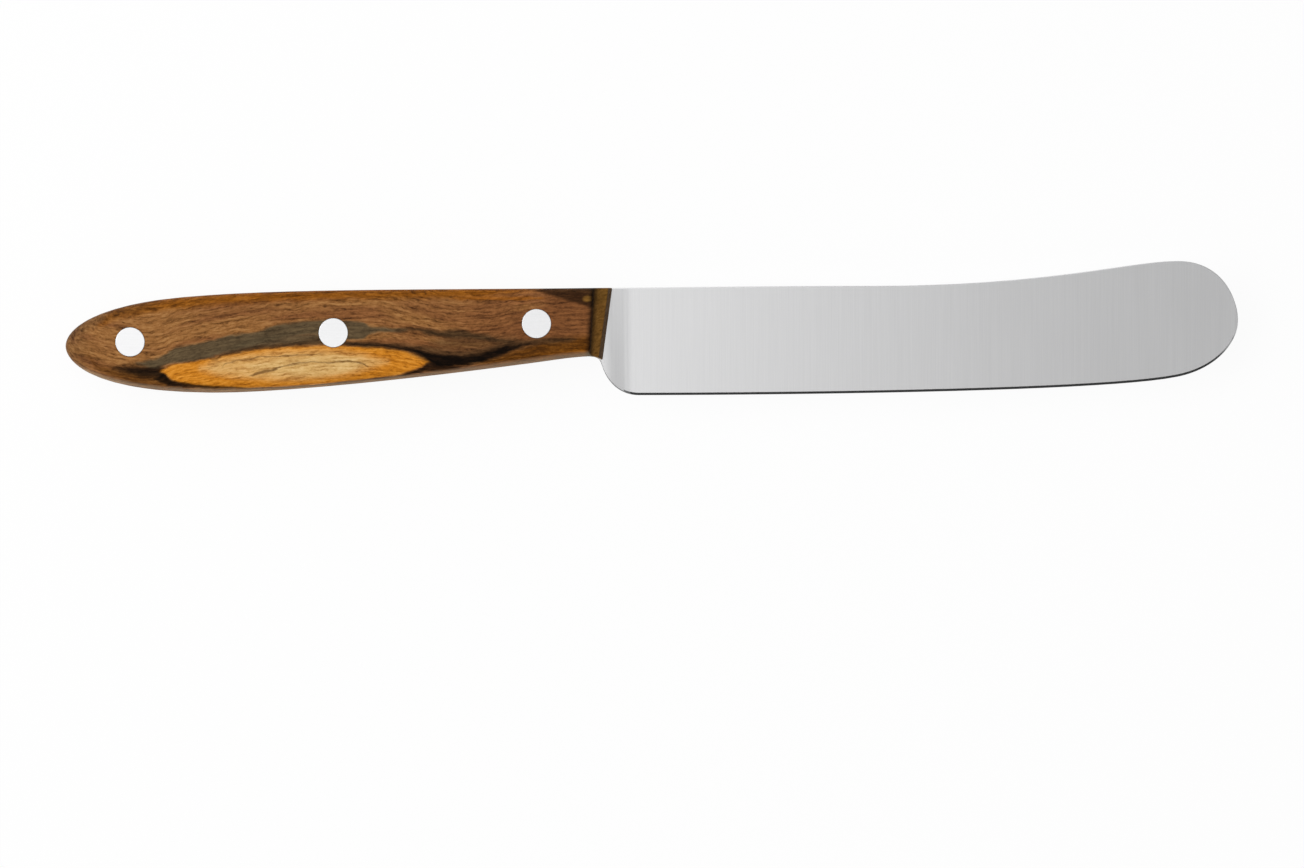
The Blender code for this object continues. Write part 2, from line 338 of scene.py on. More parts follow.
def ground_metal(name, lines_at, levels, rough):
    """Metal with fine grinding lines in tone, roughness and relief, between two levels of each."""
    material, tree, shader = new_finish(name)
    lines = noise(tree, object_point(tree, lines_at), detail=3.0, roughness=0.6)
    clouds = noise(tree, object_point(tree, CLOUDS), detail=2.0)
    tone = paint(tree, lines, grey_metal(levels[0]), grey_metal(levels[1]))
    tree.links.new(tone, shader.inputs["Base Color"])
    gloss = calc(tree, "MULTIPLY_ADD", lines, rough[1] - rough[0], rough[0])
    gloss = calc(tree, "MULTIPLY_ADD", clouds, CLOUDED_GLOSS, gloss)
    tree.links.new(gloss, shader.inputs["Roughness"])
    relief = {"Strength": LINE_BUMP, "Distance": LINE_RELIEF, "Height": lines}
    bump = add_node(tree, "ShaderNodeBump", relief)
    tree.links.new(bump.outputs[0], shader.inputs["Normal"])
    shader.inputs["Metallic"].default_value = 1.0
    print(name, "nodes:", len(tree.nodes))
    return material


for name, levels, rough in (
    ("satin_steel", (0.725, 0.815), (0.25, 0.31)),
    ("honed_steel", (0.64, 0.72), (0.10, 0.16)),
    # dark steel for the heel's edge: a painted dark reflection, not the steel's own colour
    ("heel_steel_painted_dark", (0.24, 0.34), (0.40, 0.46)),
):
    blade.data.materials.append(ground_metal(name, ACROSS_THE_BLADE, levels, rough))

# %% Honed bevel and heel painted dark
HONED = 1
PAINTED_DARK_HEEL = 2
BEVEL_TILT = (math.radians(10), math.radians(30))
NARROW = 0.001

for face in blade.data.polygons:
    tilt = math.acos(min(1.0, abs(face.normal.z)))
    heights = [blade.data.vertices[corner].co.y for corner in face.vertices]
    eased = on_heel(face.center) and tilt > BEVEL_TILT[0]
    run_in = heel_end_x <= face.center.x < edge_start_x and face.center.y < 0.0
    # the heel's edge and the narrow run-in get the steel that is painted dark, a painted dark reflection
    if eased or (run_in and max(heights) - min(heights) < NARROW):
        face.material_index = PAINTED_DARK_HEEL
    elif face.center.x > shoulder_x and BEVEL_TILT[0] < tilt < BEVEL_TILT[1]:
        face.material_index = HONED
finishes = [face.material_index for face in blade.data.polygons]
print("honed faces:", finishes.count(HONED), "stamped faces:", finishes.count(PAINTED_DARK_HEEL))

# %% [markdown]
# ## Ground aluminium
#
# The rivet heads were ground flush along the handle, so their lines run along X. The metal is lighter than
# steel and a little more matt.

# %% Aluminium
ALONG_THE_HANDLE = (150.0, 4200.0, 400.0)

aluminium = ground_metal("ground_aluminium", ALONG_THE_HANDLE, (0.78, 0.92), (0.24, 0.36))
for rivet in rivets:
    rivet.data.materials.append(aluminium)

# %% [markdown]
# ## Streaks in wood
#
# The wood has a strong figure, as some fruitwoods do: dark streaks, and a lens of pale sapwood. Each streak
# is drawn with two curves over the length of the handle, its middle line and its half width, in millimetres
# from the butt and from a base line just under the belly. A streak can then be as thin as a thread or as
# broad as the lens, and it ends where its width does. A picture would be simpler, but only a drawing in
# space runs on round the edges of the scale.

# %% Streak helpers
CURVE_MM = 105.0
CURVE_HEIGHT_MM = 25.0
THREAD_MM = 0.12
FADE_MM = 1.5


def curve(tree, along, points):
    """A smooth curve over the handle's length through (mm from the butt, mm) points."""
    made = add_node(tree, "ShaderNodeFloatCurve", {"Value": along})
    line = made.mapping.curves[0]
    places = [(x / CURVE_MM, y / CURVE_HEIGHT_MM) for x, y in points]
    line.points[0].location = places[0]
    line.points[1].location = places[-1]
    for place in places[1:-1]:
        line.points.new(*place)
    for point in line.points:
        point.handle_type = "AUTO_CLAMPED"
    made.mapping.update()
    return calc(tree, "MULTIPLY", made.outputs[0], CURVE_HEIGHT_MM)


def streak(wood, table, soft):
    """How much a point lies in a streak, from a table of (mm along, middle, half width)."""
    tree = wood.tree
    (start, first, _), (end, last, _) = table[0], table[-1]
    ends = [(0.0, first, 0.0), (start - FADE_MM, first, 0.0), *table, (end + FADE_MM, last, 0.0)]
    middle = curve(tree, wood.along, [(x, centre) for x, centre, half in ends])
    half_width = curve(tree, wood.along, [(x, half) for x, centre, half in ends])
    off_middle = calc(tree, "ABSOLUTE", calc(tree, "SUBTRACT", wood.up, middle))
    inside = calc(tree, "SUBTRACT", half_width, off_middle)
    drawn = remap(tree, half_width, 0.0, THREAD_MM)
    return calc(tree, "MULTIPLY", remap(tree, inside, -soft, soft), drawn)


print("streak helpers ready")

# %% [markdown]
# ## The ground of the wood
#
# Under the streaks lies a mid brown, clouded with reddish tones and full of fine dark pores that follow the
# flow of the grain. A flow curve bends the noise with the streaks, so that pores and streaks belong
# together. The layers lean as they go into the wood, so they also run along the sides of the scale, as the
# layers of real wood do.

# %% Wood ground
BASE_LINE_MM = 0.11
LEAN = 0.55
WAVER_MM = 1.1
WAVER_STRETCH = 0.3
STREAK_STRETCH = 0.10
FLECK_STRETCH = 0.36
STREAK_SHARE = 0.6
RING_SWAY = 22.0
RING_PACE = 2.6
RING_CREST = 0.55
RING_TONE = 0.028
DASH_RANGE = (0.60, 0.74)
DASH_TONE = 0.045
FRONT_RAKE = 0.065

base_mm = MM * wood_low[1] - BASE_LINE_MM
butt_mm = MM * wood_low[0]


def stretched(tree, along_mm, stretch, across, depth):
    """A point for noise that is drawn out along the handle."""
    drawn_out = calc(tree, "MULTIPLY", along_mm, stretch)
    return add_node(tree, "ShaderNodeCombineXYZ", {0: drawn_out, 1: across, 2: depth}).outputs[0]


def start_wood(name, face_level, flow_table):
    """A wood's material with what its layers are drawn by: places, fine grain and slow clouds."""
    material, tree, shader = new_finish(name)
    split = add_node(tree, "ShaderNodeSeparateXYZ", {"Vector": object_point(tree, (MM, MM, MM))})
    across_mm = split.outputs[1]
    along_mm = calc(tree, "SUBTRACT", split.outputs[0], butt_mm)
    along = calc(tree, "DIVIDE", along_mm, CURVE_MM)
    depth = calc(tree, "ABSOLUTE", calc(tree, "SUBTRACT", split.outputs[2], MM * face_level))
    up = calc(tree, "MULTIPLY_ADD", depth, -LEAN, calc(tree, "SUBTRACT", across_mm, base_mm))
    wavering_at = stretched(tree, along_mm, WAVER_STRETCH, up, depth)
    waver = noise(tree, wavering_at, scale=1.1, detail=4.0, roughness=0.62)
    up = calc(tree, "MULTIPLY_ADD", calc(tree, "SUBTRACT", waver, 0.5), WAVER_MM, up)
    flow = calc(tree, "SUBTRACT", up, curve(tree, along, flow_table))
    streaked_at = stretched(tree, along_mm, STREAK_STRETCH, flow, depth)
    flecked_at = stretched(tree, along_mm, FLECK_STRETCH, flow, depth)
    streaks = noise(tree, streaked_at, scale=2.2, detail=5.0, roughness=0.62)
    flecks = noise(tree, flecked_at, scale=2.6, detail=4.0, roughness=0.7)
    fine = calc(tree, "MULTIPLY", flecks, 1.0 - STREAK_SHARE)
    grain = calc(tree, "MULTIPLY_ADD", streaks, STREAK_SHARE, fine)
    clouds = noise(tree, streaked_at, scale=0.42, detail=2.0)
    phase = calc(tree, "MULTIPLY_ADD", clouds, RING_SWAY, calc(tree, "MULTIPLY", flow, RING_PACE))
    rings = remap(tree, calc(tree, "SINE", phase), RING_CREST, 1.0, 0.0, RING_TONE)
    dashes = remap(tree, noise(tree, flecked_at, scale=1.5, detail=2.0), *DASH_RANGE, 0.0, DASH_TONE)
    grain = calc(tree, "ADD", calc(tree, "ADD", grain, dashes), rings)
    to_front = calc(tree, "MULTIPLY_ADD", across_mm, -FRONT_RAKE, along_mm)
    return SimpleNamespace(
        material=material, tree=tree, shader=shader, along=along, along_mm=along_mm, up=up, grain=grain,
        clouds=clouds, to_front=to_front, tones={},
    )


print("base line of the streaks in mm:", round(base_mm, 2), "butt in mm:", round(butt_mm, 2))

# %% [markdown]
# ## The colours of the wood
#
# Every part of the figure has its own light, middle and dark tone, and the fine grain runs from one to the
# next, so a streak is never one flat colour. A layer is laid on what lies under it with a soft edge and a
# share, as a thin glaze is.

# %% Tones and layers
WOODS = {
    "brown": ((172, 124, 74), (148, 100, 54), (82, 50, 22)),
    "red": ((152, 100, 58), (126, 80, 44), (68, 38, 18)),
    "amber": ((158, 95, 20), (129, 73, 6), (80, 42, 2)),
    "gold": ((170, 100, 22), (147, 84, 9), (102, 55, 4)),
    "rust": ((140, 90, 51), (119, 74, 41), (68, 39, 19)),
    "burnt": ((122, 74, 22), (94, 54, 12), (60, 32, 6)),
    "umber": ((84, 62, 38), (64, 45, 26), (42, 28, 14)),
    "black": ((32, 18, 7), (14, 6, 2), (6, 3, 1)),
    "grey": ((101, 86, 61), (86, 72, 51), (65, 53, 36)),
    "olive": ((138, 99, 44), (126, 89, 37), (100, 68, 26)),
    "sap": ((222, 149, 55), (201, 126, 33), (142, 80, 11)),
    "pale": ((226, 190, 130), (211, 169, 104), (164, 115, 59)),
    "thread": ((128, 88, 44), (96, 62, 28), (66, 40, 16)),
}
GRAIN_STOPS = (0.39, 0.5, 0.64)
DRIFT_MIDDLE = 0.45
CLOUD_RANGE = (0.38, 0.62)


def tones(wood, name):
    """The colour of a part of the figure, from light to dark with the grain."""
    if name not in wood.tones:
        ramp = add_node(wood.tree, "ShaderNodeValToRGB", {"Fac": wood.grain})
        stops = ramp.color_ramp.elements
        stops.new(GRAIN_STOPS[1])
        for stop, position, tone in zip(stops, GRAIN_STOPS, WOODS[name]):
            stop.position = position
            stop.color = colour(*tone)
        wood.tones[name] = ramp.outputs["Color"]
    return wood.tones[name]


def lay(wood, under, over, table, soft, share=1.0):
    """A streak of another colour, given by name or socket, laid on the colour under it."""
    drawn = calc(wood.tree, "MULTIPLY", streak(wood, table, soft), share)
    return paint(wood.tree, drawn, under, tones(wood, over) if isinstance(over, str) else over)


def clouded_brown(wood, drift):
    """Brown with reddish clouds, which grow towards the front as drift says."""
    tree = wood.tree
    from_middle = calc(tree, "SUBTRACT", wood.along, DRIFT_MIDDLE)
    reddish = remap(tree, calc(tree, "MULTIPLY_ADD", from_middle, drift, wood.clouds), *CLOUD_RANGE)
    return paint(tree, reddish, tones(wood, "brown"), tones(wood, "red"))


print("tones of wood:", len(WOODS))

# %% [markdown]
# ## The hollow and the oil
#
# The hollow ground into the front end shows olive-brown end grain, and painted shade darkens the crease
# above it and the steep face before it, which faces away from the light. The oiled wood has a low gloss,
# duller in the pores. Its lower edge gets a painted sheen, a paler colour that stands in for the white
# table's reflection. A material can tell an edge by the direction that the surface faces, so no mask has to
# be painted.

# %% Hollow
HOLLOW_RUN_MM = 4.0
HOLLOW_EDGE_MM = (-0.1, 0.3)
END_GRAIN_SHARE = 0.85
# shares of painted shade: on the steep face that turns to the front, and in the crease
STEEP_FACING = (0.8, 0.95)
STEEP_SHADE_SHARE = 0.7
CREASE_MM = 1.2
CREASE_SHADE_SHARE = 0.8

hollow_mm = MM * (wood_high[0] - wood_low[0]) - HOLLOW_RUN_MM


def faced(wood):
    """The direction that the surface faces, along X, Y and Z."""
    facing = add_node(wood.tree, "ShaderNodeNewGeometry").outputs["Normal"]
    return add_node(wood.tree, "ShaderNodeSeparateXYZ", {"Vector": facing}).outputs


def hollow(wood, tone):
    """The end grain of the hollow front, with painted shade on the steep face before it and in the crease
    above it.
    """
    tree = wood.tree
    past_crease = calc(tree, "SUBTRACT", wood.to_front, hollow_mm)
    end_grain = remap(tree, past_crease, *HOLLOW_EDGE_MM, 0.0, END_GRAIN_SHARE)
    tone = paint(tree, end_grain, tone, tones(wood, "olive"))
    # painted shade: the face that turns to the front, away from the light, is painted darker
    painted_steep_shade = remap(tree, faced(wood)[0], *STEEP_FACING, 0.0, STEEP_SHADE_SHARE)
    tone = paint(tree, painted_steep_shade, tone, tones(wood, "umber"))
    # painted shade: the crease above the hollow is painted near black
    painted_crease_shade = remap(tree, calc(tree, "ABSOLUTE", past_crease), CREASE_MM, 0.0, 0.0, CREASE_SHADE_SHARE)
    return paint(tree, painted_crease_shade, tone, tones(wood, "black"))


print("hollow starts in mm from the butt:", round(hollow_mm, 2))

# %% Oiled surface
# colour of the painted sheen on the lower edge, standing in for the white table's reflection
PAINTED_SHEEN_COLOUR = (170, 154, 130)
SHEEN_REACH = (0.55, 0.95)
SHEEN_ONSET = (-0.6, -0.05)
SIDEWAYS = -0.9
SHEEN_SHARE = 0.42
SHEEN_LEFT_BELOW = 0.3
GLOSS_GRAIN = (0.36, 0.64)
GLOSS_ROUGHNESS = (0.38, 0.56)
PORE_GRAIN = (0.52, 0.64)
PORE_RELIEF = 0.00005
PORE_BUMP = 0.3
OIL_SPECULAR = 0.04


def oil(wood, tone, piece):
    """The colour, with a painted pale sheen on the lower edge, with gloss and relief from the grain, put on
    a piece.
    """
    tree = wood.tree
    facing_up = faced(wood)[1]
    # painted sheen: the lower edge, where the surface faces down, is painted paler
    onset = remap(tree, wood.along, *SHEEN_REACH, *SHEEN_ONSET)
    belly_edge = remap(tree, facing_up, onset, SIDEWAYS, 0.0, SHEEN_SHARE)
    below = remap(tree, facing_up, SIDEWAYS, -1.0, 1.0, SHEEN_LEFT_BELOW)
    painted_sheen = calc(tree, "MULTIPLY", belly_edge, below)
    tree.links.new(paint(tree, painted_sheen, tone, colour(*PAINTED_SHEEN_COLOUR)), wood.shader.inputs["Base Color"])
    gloss = remap(tree, wood.grain, *GLOSS_GRAIN, *GLOSS_ROUGHNESS)
    tree.links.new(gloss, wood.shader.inputs["Roughness"])
    pores = remap(tree, wood.grain, *PORE_GRAIN, 1.0, 0.0)
    relief = {"Strength": PORE_BUMP, "Distance": PORE_RELIEF, "Height": pores}
    bump = add_node(tree, "ShaderNodeBump", relief)
    tree.links.new(bump.outputs[0], wood.shader.inputs["Normal"])
    wood.shader.inputs["Specular IOR Level"].default_value = OIL_SPECULAR
    piece.data.materials.append(wood.material)
    print(wood.material.name, "nodes:", len(tree.nodes))


print("oiled wood's roughness:", GLOSS_ROUGHNESS)

# %% [markdown]
# ## The front scale's broad tones
#
# The figure is painted from the widest layers to the finest. First come the broad ones: rust and burnt
# wood towards the front, the amber band under the spine with a golden line in it, an amber glow on the
# lower edge, the murk under the front rivet, and painted shade on the butt's end and along its upper edge.

# %% Front wood, broad tones
FRONT_FLOW = [
    (0.0, 8.0), (15.0, 5.6), (22.0, 7.4), (30.0, 9.0), (40.0, 10.4), (50.0, 11.2), (58.0, 11.2),
    (66.0, 10.0), (74.0, 8.8), (80.0, 9.0), (88.0, 10.2), (96.0, 10.4), (104.0, 10.2),
]
FRONT_RUST = [
    (82.0, 12.0, 0.5), (88.0, 12.6, 3.5), (94.0, 13.0, 5.5), (98.6, 13.0, 5.5), (99.4, 13.0, 0.0),
]
FRONT_BURNT = [
    (79.0, 6.0, 0.4), (84.0, 6.8, 1.2), (90.0, 8.0, 1.8), (96.0, 8.6, 2.0), (98.8, 8.8, 2.0),
    (99.6, 8.8, 0.0),
]
TOP_BAND = [
    (5.0, 12.6, 0.0), (9.0, 14.4, 0.8), (13.0, 15.8, 1.3), (18.0, 17.1, 1.7), (24.0, 18.1, 2.0),
    (32.0, 18.8, 2.0), (40.0, 19.2, 1.9), (50.0, 19.4, 1.8), (70.0, 19.4, 1.5), (78.0, 19.4, 1.3),
    (84.0, 19.5, 0.8), (90.0, 19.6, 0.2),
]
FRONT_GOLD = [
    (71.0, 17.7, 0.0), (75.0, 17.8, 0.25), (82.0, 17.85, 0.3), (88.0, 17.9, 0.2), (92.0, 17.9, 0.0),
]
FRONT_GLOW = [
    (86.0, 6.0, 0.0), (90.0, 6.6, 0.6), (94.0, 7.2, 0.8), (98.4, 7.8, 0.9), (99.4, 8.0, 0.0),
]
FRONT_MURK = [
    (67.5, 9.6, 0.0), (71.0, 9.5, 0.9), (75.0, 9.4, 1.1), (80.0, 9.7, 1.0), (84.0, 10.2, 0.5),
    (86.0, 10.4, 0.0),
]

front = start_wood("figured_wood_front", wood_high[2], FRONT_FLOW)
tone = clouded_brown(front, drift=0.2)
for name, table, soft, share in (
    ("rust", FRONT_RUST, 2.0, 1.0),
    ("burnt", FRONT_BURNT, 1.0, 1.0),
    ("amber", TOP_BAND, 0.7, 0.9),
    ("gold", FRONT_GOLD, 0.3, 0.7),
    ("amber", FRONT_GLOW, 0.8, 0.6),
    ("umber", FRONT_MURK, 1.0, 0.6),
):
    tone = lay(front, tone, name, table, soft, share)
print("front wood nodes so far:", len(front.tree.nodes))

# %% Front wood, painted shade at the butt and dark layers
# painted shade: the butt's end and its upper edge, turned away from the light, are painted darker
BUTT_SHADE_REACH = 0.06
BUTT_SHADE_SHARE = 0.5
UPPER_FACING = (0.15, 0.65)
UPPER_SHADE_SHARE = 0.45
UPPER_SHADE_REACH = (0.20, 0.12)
FRONT_SHADE = [
    (3.0, 7.4, 0.0), (6.0, 4.8, 0.5), (9.0, 3.6, 0.9), (13.0, 2.4, 1.5), (18.0, 1.4, 1.2),
    (23.0, 0.6, 0.5),
]
FRONT_GLOOM = [
    (9.0, 4.6, 0.1), (11.0, 4.5, 0.7), (13.0, 4.2, 1.1), (15.0, 4.0, 1.4), (17.0, 4.2, 1.6),
    (18.3, 3.7, 1.4), (19.5, 2.5, 0.7), (21.5, 1.8, 0.0),
]

# painted shade at the butt's end, where the surface turns to the side
painted_butt_shade = remap(front.tree, front.along, BUTT_SHADE_REACH, 0.0, 0.0, BUTT_SHADE_SHARE)
tone = paint(front.tree, painted_butt_shade, tone, tones(front, "umber"))
# painted shade along the upper edge, where the surface faces +Y
upper_edge_shade = remap(front.tree, faced(front)[1], *UPPER_FACING, 0.0, UPPER_SHADE_SHARE)
painted_upper_shade = calc(front.tree, "MULTIPLY", upper_edge_shade, remap(front.tree, front.along, *UPPER_SHADE_REACH))
tone = paint(front.tree, painted_upper_shade, tone, tones(front, "umber"))
tone = lay(front, tone, "burnt", FRONT_SHADE, 1.0, 0.8)
tone = lay(front, tone, "black", FRONT_GLOOM, 1.0, 0.95)
print("front wood nodes so far:", len(front.tree.nodes))

# %% [markdown]
# ## The lens of sapwood
#
# The saw cut through an outer layer of the trunk here, so pale sapwood shows as a lens, orange at its rim
# and straw-coloured at its core, with a few dark fibres. It is built up on its own colour, and then laid
# into the handle through the outline of the lens. Grey wood lies along its upper side.

# %% Front wood, sapwood
FRONT_CORE = [
    (24.0, 4.6, 0.0), (29.0, 4.9, 1.4), (35.0, 5.0, 2.2), (43.0, 5.2, 2.7), (50.0, 5.5, 2.5),
    (55.0, 5.7, 1.7), (59.0, 5.9, 0.6), (62.0, 6.0, 0.0),
]
FRONT_PITH = [
    (33.0, 5.0, 0.0), (37.0, 5.0, 0.8), (42.0, 5.0, 1.5), (47.0, 5.2, 1.7), (51.0, 5.4, 1.5),
    (54.5, 5.6, 0.9), (57.5, 5.8, 0.0),
]
FRONT_THREAD = [
    (28.8, 4.6, 0.0), (30.2, 5.6, 0.1), (32.3, 6.1, 0.1), (34.7, 6.4, 0.12), (36.5, 6.8, 0.12),
    (38.9, 6.9, 0.1), (41.7, 7.1, 0.12), (44.2, 7.2, 0.1), (47.6, 7.3, 0.08), (50.0, 7.3, 0.0),
]
FRONT_HEART = [
    (35.0, 3.4, 0.1), (35.8, 3.65, 0.3), (37.5, 4.0, 0.26), (39.3, 4.45, 0.2), (41.0, 5.1, 0.13),
    (43.5, 5.55, 0.12), (46.3, 5.75, 0.1), (49.4, 5.9, 0.1), (52.9, 6.1, 0.14), (55.7, 5.65, 0.14),
    (56.9, 5.0, 0.12), (57.3, 4.8, 0.0),
]
FRONT_WEDGE = [
    (29.0, 7.6, 0.0), (33.7, 9.0, 0.8), (36.5, 9.5, 0.9), (40.3, 9.9, 0.9), (44.0, 10.1, 0.9),
    (48.0, 10.3, 0.8), (51.0, 10.3, 0.3), (53.0, 10.2, 0.0),
]
FRONT_LENS = [
    (17.9, 4.2, 0.05), (19.7, 3.95, 1.1), (22.0, 3.65, 2.05), (25.3, 3.5, 2.6), (29.5, 3.8, 3.25),
    (33.7, 4.2, 3.7), (38.2, 4.5, 3.95), (44.2, 4.85, 3.95), (50.0, 5.2, 3.7), (55.7, 5.45, 3.35),
    (60.0, 5.75, 2.9), (64.5, 5.75, 1.95), (66.7, 6.0, 1.15), (68.4, 6.15, 0.5), (70.2, 6.3, 0.0),
]

sapwood = tones(front, "sap")
for name, table, soft, share in (
    ("pale", FRONT_CORE, 1.1, 0.75),
    ("pale", FRONT_PITH, 0.7, 1.0),
    ("thread", FRONT_THREAD, 0.14, 0.7),
    ("thread", FRONT_HEART, 0.16, 0.8),
):
    sapwood = lay(front, sapwood, name, table, soft, share)
tone = lay(front, tone, "grey", FRONT_WEDGE, 0.5, 0.9)
tone = lay(front, tone, sapwood, FRONT_LENS, 0.4)
print("lens in mm:", FRONT_LENS[0][0], "to", FRONT_LENS[-1][0])

# %% [markdown]
# ## The dark streaks
#
# A grey-brown band runs over the lens from the butt to the middle rivet and beyond. Black lines frame the
# lens, join in front of it and rise towards the front rivet, in a halo of umber. The upper front corner is
# dark as well.

# %% Front wood, dark streaks
FRONT_BAND = [
    (13.5, 5.6, 0.1), (16.2, 5.7, 0.7), (18.3, 6.1, 0.95), (21.1, 7.3, 1.45), (25.3, 7.8, 1.6),
    (28.8, 8.8, 1.55), (32.6, 9.75, 1.4), (35.8, 10.3, 1.1), (39.3, 11.4, 1.3), (43.5, 12.05, 1.25),
    (47.7, 12.4, 1.4), (52.5, 11.9, 1.7), (55.5, 11.8, 1.7), (57.5, 11.9, 0.7), (63.4, 11.9, 0.2),
]
FRONT_RIM = [
    (27.8, 6.45, 0.15), (29.5, 7.2, 0.3), (33.7, 8.15, 0.4), (38.2, 8.85, 0.4), (44.2, 9.3, 0.4),
    (47.5, 9.75, 0.6), (50.0, 9.7, 0.5), (53.0, 9.35, 0.35), (57.0, 9.0, 0.2), (60.0, 8.7, 0.0),
]
FRONT_RIPPLE = [
    (63.0, 11.9, 0.2), (66.2, 12.0, 0.28), (68.3, 11.6, 0.6), (70.4, 11.2, 0.65), (73.2, 11.15, 0.85),
    (75.3, 11.0, 0.8), (77.4, 10.7, 0.6), (79.5, 10.45, 0.5), (81.6, 10.0, 0.35), (83.6, 9.7, 0.2),
]
FRONT_BELLY = [
    (17.5, 2.6, 0.5), (18.3, 2.6, 0.9), (19.4, 1.9, 0.8), (22.5, 1.3, 0.6), (25.3, 1.0, 0.5),
    (28.5, 0.8, 0.42), (32.0, 0.6, 0.3), (35.4, 0.4, 0.18), (42.4, 0.55, 0.14), (49.4, 1.2, 0.14),
    (55.7, 2.0, 0.16), (59.2, 2.4, 0.16), (62.7, 2.9, 0.22), (64.5, 3.4, 0.35), (66.7, 4.1, 0.5),
    (68.8, 4.9, 0.9), (70.4, 4.6, 0.6), (73.2, 4.6, 0.4), (76.0, 5.0, 0.0),
]
FRONT_HALO = [
    (51.0, 9.3, 0.0), (55.7, 9.2, 0.4), (59.2, 9.0, 0.6), (64.5, 8.4, 0.8), (69.0, 7.2, 1.5),
    (73.0, 7.0, 1.2), (78.0, 7.6, 0.9), (84.0, 9.1, 0.8), (90.0, 9.8, 0.6), (95.0, 10.1, 0.4),
    (97.0, 10.2, 0.0),
]
FRONT_LINE = [
    (52.0, 9.2, 0.0), (55.7, 9.2, 0.15), (59.2, 9.0, 0.2), (64.5, 8.3, 0.3), (66.7, 7.7, 0.45),
    (69.0, 6.6, 1.0), (71.1, 6.05, 1.2), (73.5, 6.05, 1.1), (75.8, 6.15, 0.95), (78.0, 6.55, 0.85),
    (80.3, 7.2, 0.8), (82.6, 8.05, 0.8), (84.8, 8.65, 0.5), (87.0, 9.2, 0.15), (89.5, 9.5, 0.0),
]
FRONT_CORNER = [
    (85.0, 19.4, 0.0), (89.0, 19.3, 0.3), (92.4, 18.9, 0.7), (95.2, 18.5, 1.3), (97.6, 18.3, 1.8),
    (99.2, 18.1, 2.0), (103.0, 18.0, 2.0),
]

for name, table, soft, share in (
    ("grey", FRONT_BAND, 0.4, 0.95),
    ("umber", FRONT_RIM, 0.4, 0.85),
    ("umber", FRONT_RIPPLE, 0.5, 0.95),
    ("umber", FRONT_HALO, 0.6, 0.8),
    ("black", FRONT_BELLY, 0.4, 0.9),
    ("black", FRONT_LINE, 0.45, 1.0),
    ("black", FRONT_CORNER, 0.4, 0.8),
):
    tone = lay(front, tone, name, table, soft, share)
print("front wood nodes so far:", len(front.tree.nodes))

# %% [markdown]
# ## The knot
#
# A small olive-brown knot sits in the dark corner. It is too small for the curves, so its place is a
# distance: how far a point is from the knot's middle, squeezed a little because the knot is wider than high.

# %% Front wood, knot
KNOT_MM = (98.4, 17.8)
KNOT_RADII_MM = (0.4, 1.25)
KNOT_SQUEEZE = 1.4

aside = calc(front.tree, "SUBTRACT", front.along_mm, KNOT_MM[0])
above = calc(front.tree, "MULTIPLY", calc(front.tree, "SUBTRACT", front.up, KNOT_MM[1]), KNOT_SQUEEZE)
from_knot = add_node(front.tree, "ShaderNodeCombineXYZ", {0: aside, 1: above}).outputs[0]
away = add_node(front.tree, "ShaderNodeVectorMath", {0: from_knot}, operation="LENGTH").outputs["Value"]
knot = remap(front.tree, away, KNOT_RADII_MM[1], KNOT_RADII_MM[0])
tone = paint(front.tree, knot, tone, tones(front, "olive"))
oil(front, hollow(front, tone), front_scale)

# %% [markdown]
# ## The rear scale's wood
#
# The photograph doesn't show the rear scale. It is taken to come from the same plank, so it has the same
# ground and dark streaks of the same kind, without the sapwood.

# %% Rear wood
REAR_FLOW = [
    (0.0, 9.0), (16.0, 8.6), (30.0, 10.2), (46.0, 11.0), (60.0, 10.4), (74.0, 9.6), (88.0, 9.8),
    (104.0, 10.2),
]
REAR_BAND = [
    (6.0, 9.0, 0.2), (16.0, 9.4, 1.0), (30.0, 11.2, 1.5), (46.0, 12.2, 1.2), (60.0, 11.6, 0.5),
    (74.0, 10.6, 0.9), (88.0, 10.2, 0.6), (100.0, 10.8, 0.2),
]
REAR_BELLY = [
    (8.0, 5.0, 0.3), (20.0, 2.2, 0.8), (40.0, 1.2, 0.5), (60.0, 2.4, 0.5), (76.0, 4.6, 0.4),
]
REAR_LINE = [
    (10.0, 5.0, 0.1), (24.0, 5.2, 0.6), (40.0, 6.2, 0.9), (58.0, 6.6, 0.4), (72.0, 7.2, 1.0),
    (86.0, 8.8, 0.5), (98.0, 9.4, 0.2),
]

rear = start_wood("figured_wood_rear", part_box("rear_scale")[0][2], REAR_FLOW)
tone = clouded_brown(rear, drift=0.0)
for name, table, soft, share in (
    ("amber", TOP_BAND, 0.7, 0.9),
    ("grey", REAR_BAND, 0.35, 0.92),
    ("black", REAR_BELLY, 0.45, 0.8),
    ("black", REAR_LINE, 0.35, 0.85),
):
    tone = lay(rear, tone, name, table, soft, share)
oil(rear, hollow(rear, tone), rear_scale)

# %% [markdown]
# ## The table
#
# A white floor carries the knife. For the camera and for reflections it glows at a strength of one, which
# is plain white, mixed with a share of real white paint that takes the knife's soft shadow. Seen from
# below it lets the view through. It is raised by a tenth of a millimetre, so that the rear scale's face is
# just below it and catches the light from below when somebody looks at the underside.

# %% Floor
FLOOR_SIZE = 6.0
FLOOR_LEVEL = 0.0001
FLOOR_GLOW = 0.93
FLOOR_PAINT = (0.9, 0.9, 0.9, 1.0)
FLOOR_ROUGHNESS = 0.9
WHITE = (1.0, 1.0, 1.0, 1.0)

